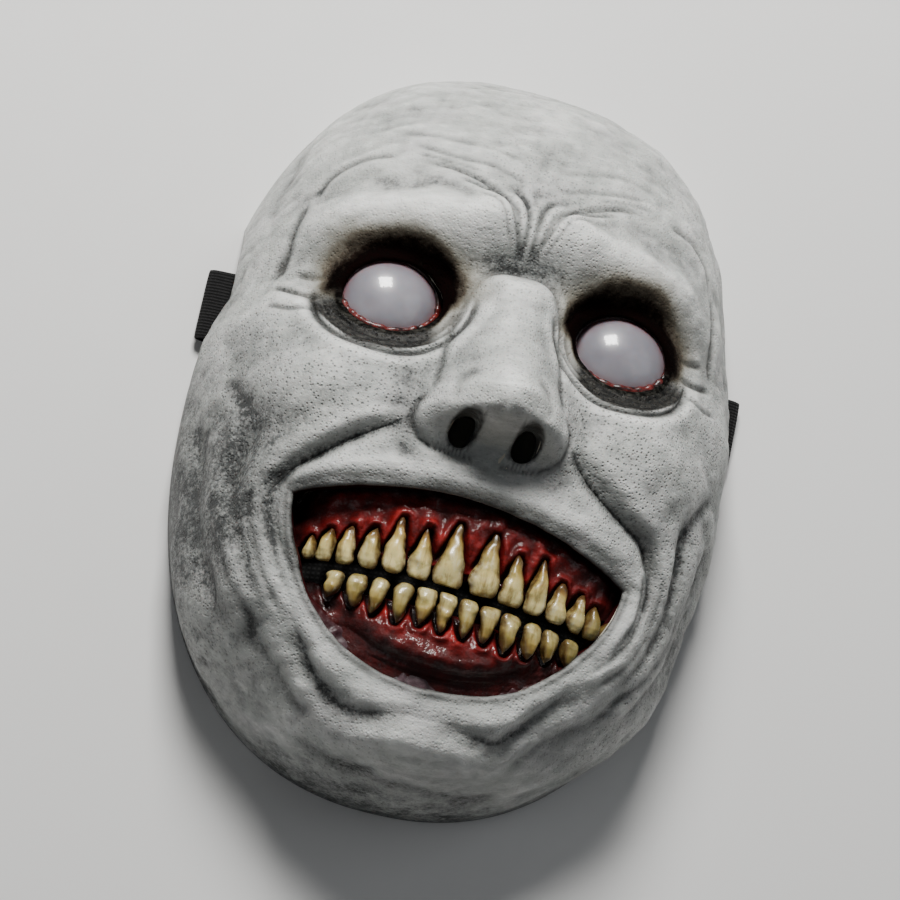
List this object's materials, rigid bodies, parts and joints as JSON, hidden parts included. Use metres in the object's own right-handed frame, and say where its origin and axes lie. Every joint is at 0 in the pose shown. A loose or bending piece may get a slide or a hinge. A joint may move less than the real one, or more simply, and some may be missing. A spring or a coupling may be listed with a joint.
{
  "type": "costume face mask",
  "caption": "Full-face latex ghoul mask with milky domed eyes, a wide grin of separate teeth set in gum plates, and an adjustable elastic head strap on press studs.",
  "frame": {"origin": "middle of the mask's outline on the plane of its rim", "axes": "+X to the wearer's left, +Y to the crown, +Z out of the face"},
  "size_m": [0.1932, 0.26, 0.116],
  "materials": {
    "latex": "matt painted latex, near-white with dark grey wash in the folds",
    "gum": "wet gloss",
    "tooth": "stained ivory, glossy",
    "milky_eye": "milky translucent gloss",
    "black_net": "matt black",
    "elastic": "ribbed elastic webbing",
    "black_plastic": "moulded",
    "stud_brass": "satin"
  },
  "bodies": {
    "mask": {"face_skin": "latex", "upper_gum": "gum", "lower_gum": "gum", "mouth_backing": "black_net", "left_eye_dome": "milky_eye", "right_eye_dome": "milky_eye", "left_eye_retainer": "black_plastic", "right_eye_retainer": "black_plastic", "left_anchor_block": "latex", "right_anchor_block": "latex", "left_snap_stud": "stud_brass", "right_snap_stud": "stud_brass", "upper_tooth_left_1": "tooth", "upper_tooth_left_2": "tooth", "upper_tooth_left_3": "tooth", "upper_tooth_left_4": "tooth", "upper_tooth_left_5": "tooth", "upper_tooth_left_6": "tooth", "upper_tooth_left_7": "tooth", "upper_tooth_right_1": "tooth", "upper_tooth_right_2": "tooth", "upper_tooth_right_3": "tooth", "upper_tooth_right_4": "tooth", "upper_tooth_right_5": "tooth", "upper_tooth_right_6": "tooth", "upper_tooth_right_7": "tooth", "lower_tooth_left_1": "tooth", "lower_tooth_left_2": "tooth", "lower_tooth_left_3": "tooth", "lower_tooth_left_4": "tooth", "lower_tooth_left_5": "tooth", "lower_tooth_left_6": "tooth", "lower_tooth_right_1": "tooth", "lower_tooth_right_2": "tooth", "lower_tooth_right_3": "tooth", "lower_tooth_right_4": "tooth", "lower_tooth_right_5": "tooth", "lower_tooth_right_6": "tooth"},
    "strap": {"elastic_strap": "elastic", "strap_tail": "elastic", "left_snap_cap": "black_plastic", "right_snap_cap": "black_plastic"},
    "slider": {"strap_slider": "black_plastic"}
  },
  "joints": [
    {"name": "strap_swing", "type": "hinge", "parent": "mask", "child": "strap", "pos_m": [0, 0.028, 0.024], "axis": [1, 0, 0], "range_deg": [-15, 15]},
    {"name": "slider_slide", "type": "slide", "parent": "strap", "child": "slider", "axis": [1, 0, 0], "range_m": [-0.03, 0.03]}
  ]
}
